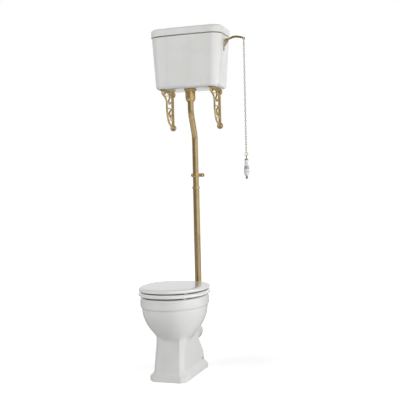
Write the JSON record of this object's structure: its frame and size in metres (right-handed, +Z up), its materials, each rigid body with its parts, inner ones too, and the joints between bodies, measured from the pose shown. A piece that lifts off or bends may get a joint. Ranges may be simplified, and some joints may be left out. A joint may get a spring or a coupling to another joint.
{
  "type": "high tank pull chain toilet",
  "caption": "Floor-standing china pan with seat and lid, fed by a tall flush pipe from a high wall cistern on cast brackets, worked by a side lever and pull chain.",
  "frame": {"origin": "on the floor, midway between the two floor fixing holes of the pan", "axes": "+X to the right of someone facing the suite, +Y towards the wall, +Z up"},
  "size_m": [0.571, 0.646, 1.897],
  "materials": {
    "china": "white vitreous china under a clear gloss glaze",
    "seat_white": "moulded wood under white gloss lacquer",
    "handle_china": "white glazed china",
    "brass": "polished and lacquered brass",
    "bracket_brass": "cast brass, polished on the edges",
    "steel": "bright stainless steel",
    "nylon": "natural nylon",
    "buffer_rubber": "off-white soft rubber",
    "black_rubber": "black rubber",
    "siphon_plastic": "moulded grey-white plastic",
    "white_plastic": "moulded white plastic",
    "float_copper": "hollow moulded float"
  },
  "bodies": {
    "suite": {"pan": "china", "floor_brackets": "nylon", "side_screws": "steel", "side_washers": "buffer_rubber", "hinge_studs": "brass", "hinge_washers": "black_rubber", "hinge_nuts": "brass", "hinge_pillars": "brass", "hinge_bar": "brass", "flush_cone": "black_rubber", "lower_pipe": "brass", "slip_collar": "brass", "slip_seal": "black_rubber", "upper_pipe": "brass", "pipe_clip": "brass", "outlet_nut": "brass", "outlet_washer": "black_rubber", "coupling_nut": "brass", "cistern_tank": "china", "bracket_left": "bracket_brass", "bracket_right": "bracket_brass", "bracket_strips": "black_rubber", "siphon_body": "siphon_plastic", "siphon_seal": "black_rubber", "valve_body": "brass", "valve_backnut": "brass", "valve_washers": "black_rubber", "float_pin": "steel", "overflow_tail": "white_plastic", "overflow_nut": "white_plastic", "overflow_washer": "black_rubber", "fulcrum_plate": "brass", "fulcrum_bolts": "brass", "fulcrum_nuts": "steel", "lever_pin": "brass"},
    "seat": {"seat_ring": "seat_white", "seat_buffers": "buffer_rubber", "seat_straps": "brass", "seat_strap_screws": "brass"},
    "seat_cover": {"seat_lid": "seat_white", "lid_buffers": "buffer_rubber", "lid_straps": "brass", "lid_strap_screws": "brass"},
    "cistern_cover": {"cistern_lid": "china"},
    "lever": {"lever_arm": "brass"},
    "hook": {"chain_hook": "brass"},
    "chain": {"pull_chain": "brass", "handle_ring": "brass"},
    "handle": {"handle_cap": "brass", "pull_handle": "handle_china", "handle_finial": "brass"},
    "lift_rod": {"siphon_rod": "steel", "siphon_diaphragm": "black_rubber", "lift_link": "brass"},
    "float": {"float_lever": "brass", "float_ball": "float_copper"},
    "valve_plunger": {"valve_piston": "steel"}
  },
  "joints": [
    {"name": "seat_hinge", "type": "hinge", "parent": "suite", "child": "seat", "pos_m": [0, 0.027, 0.462], "axis": [-1, 0, 0], "range_deg": [0, 101]},
    {"name": "lid_hinge", "type": "hinge", "parent": "seat", "child": "seat_cover", "pos_m": [0, 0.027, 0.462], "axis": [1, 0, 0], "range_deg": [-103, 0]},
    {"name": "cistern_cover_lift", "type": "slide", "parent": "suite", "child": "cistern_cover", "axis": [0, 0, 1], "range_m": [0, 0.06]},
    {"name": "lever_turn", "type": "hinge", "parent": "suite", "child": "lever", "pos_m": [0.22451, 0.138, 1.82074], "axis": [0, 1, 0], "range_deg": [0, 20]},
    {"name": "hook_turn", "type": "hinge", "parent": "lever", "child": "hook", "pos_m": [0.32151, 0.138, 1.81884], "axis": [0, 1, 0], "range_deg": [-20, 0]},
    {"name": "siphon_lift", "type": "slide", "parent": "suite", "child": "lift_rod", "axis": [0, 0, 1], "range_m": [0, 0.0545]},
    {"name": "chain_swing", "type": "hinge", "parent": "hook", "child": "chain", "pos_m": [0.32151, 0.138, 1.79384], "axis": [1, 0, 0], "range_deg": [-20, 5.5]},
    {"name": "handle_swing", "type": "hinge", "parent": "chain", "child": "handle", "pos_m": [0.32151, 0.138, 1.17224], "axis": [0, 1, 0], "range_deg": [-15, 15]},
    {"name": "float_turn", "type": "hinge", "parent": "suite", "child": "float", "pos_m": [-0.16611, 0.167, 1.781], "axis": [0, 1, 0], "range_deg": [0, 35]},
    {"name": "valve_slide", "type": "slide", "parent": "suite", "child": "valve_plunger", "axis": [1, 0, 0], "range_m": [0, 0.0072]}
  ],
  "couplings": [
    {"joint": "hook_turn", "follows": "lever_turn", "ratio": -1},
    {"joint": "siphon_lift", "follows": "lever_turn", "m_per_rad": 0.1556},
    {"joint": "valve_slide", "follows": "float_turn", "m_per_rad": 0.0115}
  ]
}
